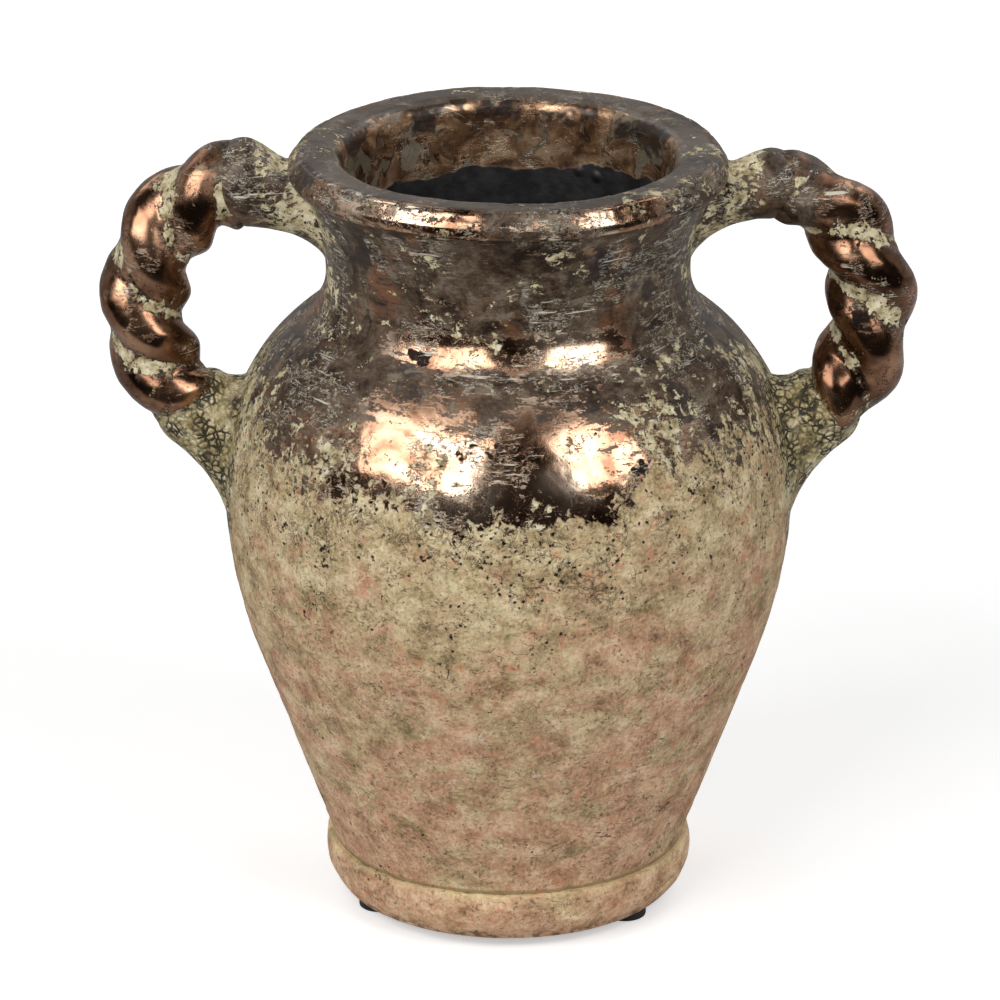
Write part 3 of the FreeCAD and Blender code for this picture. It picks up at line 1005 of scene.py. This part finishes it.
def body_finish():
    """Outside: flecked lustre down to a ragged glaze edge, bare clay below it, and crazed glaze
    round the lower roots."""
    g = Surface("weathered_lustre_and_clay")
    bare, dull, aside = g.attribute("bare"), g.attribute("dull"), g.attribute("aside")
    shine = lustre(g, dull)
    closeness = g.between(bare, -42, -2)
    often = g.blended((closeness, 0.06), (g.attribute("crust"), 0.09), (dull, 0.04))
    shine = flecked(g, shine, g.total(often, 0.042))
    lower = clay(g, bare)
    ragged = g.noise(17, detail=6, rough=0.68, distortion=0.6, shift=3)
    lace = g.noise(3.6, detail=5, rough=0.70, distortion=1.0, shift=19)
    drips = g.noise(3.6, detail=4, rough=0.6, flat=0.28, shift=29)
    level = g.total(
        bare,
        g.swing(ragged, 44.0),
        g.swing(lace, 34.0),
        g.times(g.swing(drips, 56.0), g.total(0.15, aside)),
    )
    finish = g.layered(g.between(level, -0.8, 0.8), shine, lower)
    crazed = g.total(g.attribute("crackle"), g.swing(ragged, 0.9), g.swing(lace, 0.5))
    finish = g.layered(g.between(crazed, 0.42, 0.62), finish, crackle(g))
    seam = g.between(g.total(g.attribute("seam"), g.swing(lace, 0.5)), 0.35, 0.75)
    finish["color"] = g.mix(g.times(seam, 0.7), finish["color"], moss_tones[1])
    return g.finished(finish)


def interior_finish():
    """Inside: stained lustre down to an uneven glaze edge in the neck, dark clay below it, and
    black patches under the rim that are a painted reflection of the dark room.
    """
    edge_z, edge_slope, edge_wave = 266.4, 0.07, 16.0
    reflection_band_from, reflection_band_full, reflection_band_wave = 281.0, 285.0, 22.0
    g = Surface("lustre_and_dark_clay")
    parts = g.add("SeparateXYZ", {0: g.place}).outputs
    slope = g.times(parts["X"], -edge_slope)
    edge = g.total(parts["Z"], slope, g.swing(g.noise(30, shift=8), edge_wave))
    bumps = g.noise(8, detail=3, shift=14)
    knobs = g.between(g.cells(15), 0.20, 0.02)
    dark = coat(
        g.mix(g.between(bumps, 0.35, 0.65), inner_black, inner_dark),
        metal=0.0,
        rough=0.5,
        height=g.blended((bumps, 0.6), (knobs, 0.9)),
    )
    glazed = lustre(g, 0.12)
    stain = g.noise(18, detail=5, rough=0.62, distortion=1.2, shift=84)
    mossy = coat(moss_film, metal=0.1, rough=0.45, height=glazed["height"])
    cloud = g.noise(12, detail=5, rough=0.66, distortion=0.8, shift=52)
    warm = coat(
        g.ramp(cloud, (0.38, 0.50, 0.62), stain_tones),
        metal=0.6,
        rough=0.26,
        height=glazed["height"],
    )
    glazed = g.layered(g.times(g.between(stain, 0.54, 0.48), 0.92), glazed, warm)
    glazed = g.layered(g.times(g.between(stain, 0.52, 0.57), 0.8), glazed, mossy)
    # Painted reflection: black patches just under the rim stand for the dark room mirrored in the
    # glaze.
    dark_reflection_band = g.total(parts["Z"], g.swing(cloud, reflection_band_wave))
    dark_reflection_band = g.between(dark_reflection_band, reflection_band_from, reflection_band_full)
    burnt_spots_and_dark_reflection = coat(black_glaze_and_reflection, metal=0.3, rough=0.3, height=glazed["height"])
    glazed = g.layered(g.times(dark_reflection_band, g.gate(15, 0.46, 0.54, 96), 0.9), glazed, burnt_spots_and_dark_reflection)
    return g.finished(g.layered(g.between(edge, edge_z, edge_z + 1.2), dark, glazed))


def lip_finish():
    """Lustre with black specks, under a smooth grey film on the lip's top."""
    g = Surface("scuffed_lustre")
    dull = g.attribute("dull")
    shine = lustre(g, dull)
    speck = g.times(g.gate(2.6, 0.55, 0.60, 36, detail=4, rough=0.7), g.gate(11, 0.40, 0.56, 85))
    burnt_spots_and_dark_reflection = coat(black_glaze_and_reflection, metal=0.2, rough=0.3, height=g.times(speck, -0.2))
    shine = g.layered(speck, shine, burnt_spots_and_dark_reflection)
    streak = g.noise(26, detail=5, rough=0.6, shift=74)
    smooth = coat(
        g.ramp(streak, (0.36, 0.64), lip_film_tones),
        metal=0.3,
        rough=0.40,
        height=g.times(streak, 0.4),
    )
    shine = g.layered(g.times(g.between(dull, 0.55, 0.8), 0.7), shine, smooth)
    amount = g.total(0.07, g.times(g.attribute("crust"), 0.06), g.times(dull, -0.03))
    return g.finished(flecked(g, shine, amount))


def rope_finish():
    """Lustre on the strands, sooty beside the grooves, crust in them, and crazed glaze at the
    lower end."""
    g = Surface("lustre_with_crusted_grooves")
    lace = g.noise(3.2, detail=5, rough=0.70, distortion=0.8, shift=19)
    level = g.total(
        g.attribute("crust"),
        g.swing(lace, 8.0),
        g.swing(g.noise(14, detail=3, shift=47), 11.0),
        -0.45,
    )
    soot = coat(grime, metal=0.2, rough=0.45, height=g.times(lace, 0.3))
    shine = flecked(g, lustre(g, g.attribute("dull"), (0.15, 0.28), rope_tones), 0.02)
    sooty = g.times(g.between(level, -1.2, -0.3), g.gate(3, 0.44, 0.56, 52))
    shine = g.layered(sooty, shine, soot)
    finish = g.layered(g.between(level, -0.1, 0.15), shine, crust(g))
    crazed = g.total(g.attribute("crackle"), g.swing(lace, 1.2), g.times(level, 0.10))
    return g.finished(g.layered(g.between(crazed, 0.62, 0.75), finish, crackle(g)))


def root_finish():
    """Flecked lustre on an upper root and crazed glaze on a lower one, with clay at its foot."""
    g = Surface("crusted_root_glaze")
    bare = g.attribute("bare")
    shine = flecked(g, lustre(g, g.attribute("dull")), g.times(g.attribute("crust"), 0.19))
    ragged = g.noise(12, detail=6, rough=0.70, distortion=0.6, shift=3)
    crazed = g.total(g.attribute("crackle"), g.swing(ragged, 1.8))
    finish = g.layered(g.between(crazed, 0.62, 0.80), shine, crackle(g))
    level = g.total(bare, g.swing(ragged, 40.0))
    return g.finished(g.layered(g.between(level, 30.0, 38.0), finish, clay(g, bare)))


def foot_finish():
    """Bare clay, cream on the ledge, mossy in the seam above it and sooty at the lower edge."""
    g = Surface("weathered_clay")
    finish = clay(g, g.attribute("bare"), foot_tones)
    lace = g.noise(5.5, detail=6, rough=0.70, distortion=0.8, shift=19)
    seam = g.total(g.attribute("seam"), g.swing(lace, 1.3))
    color = g.mix(g.times(g.between(seam, 0.15, 0.85), 0.65), finish["color"], ledge_cream)
    color = g.mix(g.times(g.between(seam, 0.80, 1.0), 0.8), color, moss_tones[0])
    sooty = g.times(g.between(g.attribute("low"), 0.2, 1.0), g.gate(4, 0.46, 0.60, 67, detail=5))
    finish["color"] = g.mix(g.times(sooty, 0.75), color, speck_dark)
    return g.finished(finish)


def rubber_finish():
    g = Surface("black_rubber")
    dust = g.gate(5, 0.52, 0.72, 0, detail=6)
    return g.finished(
        coat(
            g.mix(g.times(dust, 0.5), rubber_black, rubber_dust),
            metal=0.0,
            rough=g.mix(dust, 0.55, 0.8),
            height=g.times(g.noise(0.6, detail=3), 0.05),
        )
    )


# The pieces, each with its finish


def dressed(piece, node, slot, *materials):
    """Puts a piece in the place of its CAD node."""
    for material in materials:
        piece.data.materials.append(material)
    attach(piece, "root")
    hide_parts(node)


def inner_faces(piece):
    """Gives the second material to the faces whose points are mostly marked as inside."""
    half = 0.5
    marks = np.zeros(len(piece.data.vertices), np.float32)
    piece.data.attributes["inside"].data.foreach_get("value", marks)
    loops = np.zeros(len(piece.data.loops), np.int32)
    piece.data.loops.foreach_get("vertex_index", loops)
    starts = np.zeros(len(piece.data.polygons), np.int32)
    piece.data.polygons.foreach_get("loop_start", starts)
    chosen = np.add.reduceat(marks[loops], starts) / np.diff([*starts, len(loops)])
    piece.data.polygons.foreach_set("material_index", (chosen > half).astype(np.int32))


body_material, interior_material = body_finish(), interior_finish()
lip_material, rope_material = lip_finish(), rope_finish()
root_material, foot_material = root_finish(), foot_finish()

body = vase_body()
dressed(body, "vessel_body", "vessel_finish", body_material, interior_material)
inner_faces(body)
lip = vase_lip()
dressed(lip, "rim_lip", "lustre_glaze", lip_material, interior_material)
inner_faces(lip)
dressed(vase_foot(), "foot_ring", "bare_clay", foot_material)
for side, handle in handles.items():
    for letter, half_turn in (("a", 0.0), ("b", math.pi)):
        rope = strand(f"rope_{side}_{letter}", handle, half_turn)
        dressed(rope, f"{side}_handle_strand_{letter}", "lustre_glaze", rope_material)
    upper = root(f"root_{side}_upper", handle, True)
    dressed(upper, f"{side}_upper_root", "lustre_glaze", root_material)
    lower = root(f"root_{side}_lower", handle, False)
    dressed(lower, f"{side}_lower_root", "crusted_glaze", root_material)

rubber = rubber_finish()
for name in ("left_pad", "right_pad", "back_pad"):
    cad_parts[name].data.materials.clear()
    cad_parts[name].data.materials.append(rubber)


# Floor, world, light and camera


def pale_floor():
    """A wide pale floor. What the camera sees of it is lifted to white, more so far away, and
    the object's shadow stays. In the glaze the floor looks dark, and darker ahead of the vase."""
    radius = 2.6
    lift, far_lift, far_from, far_full = 0.45, 0.5, 500, 1600
    dark_in_gloss, darker_ahead, ahead_from, ahead_full = 0.34, 0.64, -110, -260
    bpy.ops.mesh.primitive_circle_add(vertices=96, radius=radius, fill_type="NGON")
    floor = bpy.context.object
    floor.name = "floor"
    g = Surface("pale_floor")
    paths = g.add("LightPath").outputs
    speckle = g.noise(60, detail=3)
    tint = g.mix(speckle, (0.80, 0.80, 0.80, 1), (0.82, 0.82, 0.82, 1))
    ahead = g.between(g.add("SeparateXYZ", {0: g.place}).outputs["Y"], ahead_from, ahead_full)
    darker = g.total(g.times(ahead, darker_ahead), dark_in_gloss)
    tint = g.mix(g.times(darker, paths["Is Glossy Ray"]), tint, (0.01, 0.01, 0.01, 1))
    away = g.add("VectorMath", {0: g.place}, operation="LENGTH").outputs["Value"]
    lifted = g.total(g.times(g.between(away, far_from, far_full), far_lift), lift)
    settings = {
        "Base Color": tint,
        "Roughness": 0.9,
        "Specular IOR Level": 0.0,
        "Emission Color": white,
        "Emission Strength": g.times(paths["Is Camera Ray"], lifted),
    }
    for socket, value in settings.items():
        g.feed(g.shader, socket, value)
    floor.data.materials.append(g.material)


def studio_world():
    """White to the camera. Gloss and glass see a pale backdrop behind the object and a dark
    room in front, and the rest is even fill."""
    backdrop, room, fill = 0.52, 0.035, 0.13
    world = bpy.data.worlds.new("studio")
    bpy.context.scene.world = world
    world.use_nodes = True
    g = Graph(world.node_tree)
    g.tree.nodes.clear()
    paths = g.add("LightPath").outputs
    direction = g.add("SeparateXYZ", {0: g.add("TexCoord").outputs["Generated"]}).outputs
    behind = g.between(direction["Y"], -0.05, 0.08)
    low_down = g.between(direction["Z"], 0.75, 0.35)
    reflected = g.total(g.times(behind, low_down, backdrop), room)
    seen = g.most(paths["Is Glossy Ray"], paths["Is Transmission Ray"])
    level = g.total(g.times(seen, g.total(reflected, -fill)), fill)
    camera_lift = g.times(paths["Is Camera Ray"], g.math("SUBTRACT", 1.0, level))
    background = g.add("Background", {"Strength": g.total(level, camera_lift)})
    g.add("OutputWorld", {"Surface": background.outputs[0]})


look_at = Vector((0, 0, sole_z + (rim_z - sole_z) / 2))


def placed(name, data, azimuth, elevation, distance):
    """A lamp or camera that looks at the vase's middle, by degrees from the front and up."""
    turn, rise = math.radians(azimuth), math.radians(elevation)
    level = math.cos(rise)
    away = Vector((math.sin(turn) * level, -math.cos(turn) * level, math.sin(rise)))
    holder = bpy.data.objects.new(name, data)
    holder.location = look_at + away * distance
    holder.rotation_euler = away.to_track_quat("Z", "Y").to_euler()
    bpy.context.scene.collection.objects.link(holder)
    return holder


def softbox(name, azimuth, elevation, width, height, radiance):
    """A rectangular lamp that faces the vase."""
    distance = 2.0
    lamp = bpy.data.lights.new(name, "AREA")
    lamp.shape = "RECTANGLE"
    lamp.size, lamp.size_y = width, height
    lamp.energy = radiance * math.pi * width * height
    placed(name, lamp, azimuth, elevation, distance)


def camera():
    """The photo's view: from 21 degrees above the front."""
    elevation, distance = 21.17, 2.2234
    lens = bpy.data.cameras.new("camera")
    lens.lens, lens.sensor_width = 214.2, 36.0
    lens.shift_x, lens.shift_y = -0.0085, 0.0159
    bpy.context.scene.camera = placed("camera", lens, 0, elevation, distance)


pale_floor()
studio_world()
softbox("softbox_left", azimuth=-42, elevation=38, width=1.72, height=1.18, radiance=4.2)
softbox("softbox_right", azimuth=44, elevation=38, width=1.06, height=1.18, radiance=4.4)
for name, azimuth in (("softbox_back_left", -140), ("softbox_back_right", 140)):
    softbox(name, azimuth, elevation=45, width=1.0, height=1.0, radiance=2.0)
camera()
bpy.context.scene.view_settings.view_transform = "Standard"
